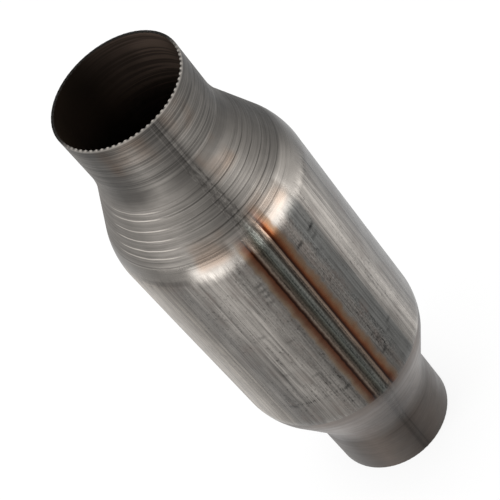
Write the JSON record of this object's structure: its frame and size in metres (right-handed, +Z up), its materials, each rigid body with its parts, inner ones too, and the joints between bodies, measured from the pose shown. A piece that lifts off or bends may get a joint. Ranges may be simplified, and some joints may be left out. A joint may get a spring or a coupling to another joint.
{
  "type": "catalytic converter",
  "caption": "Round exhaust catalytic converter: a spun one-piece steel casing with a neck at each end and a wound metal foil core inside.",
  "frame": {"origin": "centre of the outlet rim, on the surface that the converter stands on", "axes": "+Z up the casing's axis from the outlet rim to the inlet rim; the weld seam faces -Y; +X completes the right-handed frame"},
  "size_m": [0.1016, 0.1019, 0.292],
  "materials": {
    "casing": "mill-finish stainless with spinning marks and heat tint beside the seam weld",
    "core_mantle": "dull oxidised stainless tube",
    "smooth_foil": "matt washcoated foil",
    "wave_foil": "matt washcoated foil"
  },
  "bodies": {
    "root": {"casing": "casing", "core_mantle": "core_mantle", "smooth_foil_1": "smooth_foil", "smooth_foil_2": "smooth_foil", "smooth_foil_3": "smooth_foil", "smooth_foil_4": "smooth_foil", "smooth_foil_5": "smooth_foil", "smooth_foil_6": "smooth_foil", "smooth_foil_7": "smooth_foil", "smooth_foil_8": "smooth_foil", "smooth_foil_9": "smooth_foil", "wave_foil_1": "wave_foil", "wave_foil_2": "wave_foil", "wave_foil_3": "wave_foil", "wave_foil_4": "wave_foil", "wave_foil_5": "wave_foil", "wave_foil_6": "wave_foil", "wave_foil_7": "wave_foil", "wave_foil_8": "wave_foil", "wave_foil_9": "wave_foil", "wave_foil_10": "wave_foil"}
  },
  "joints": []
}
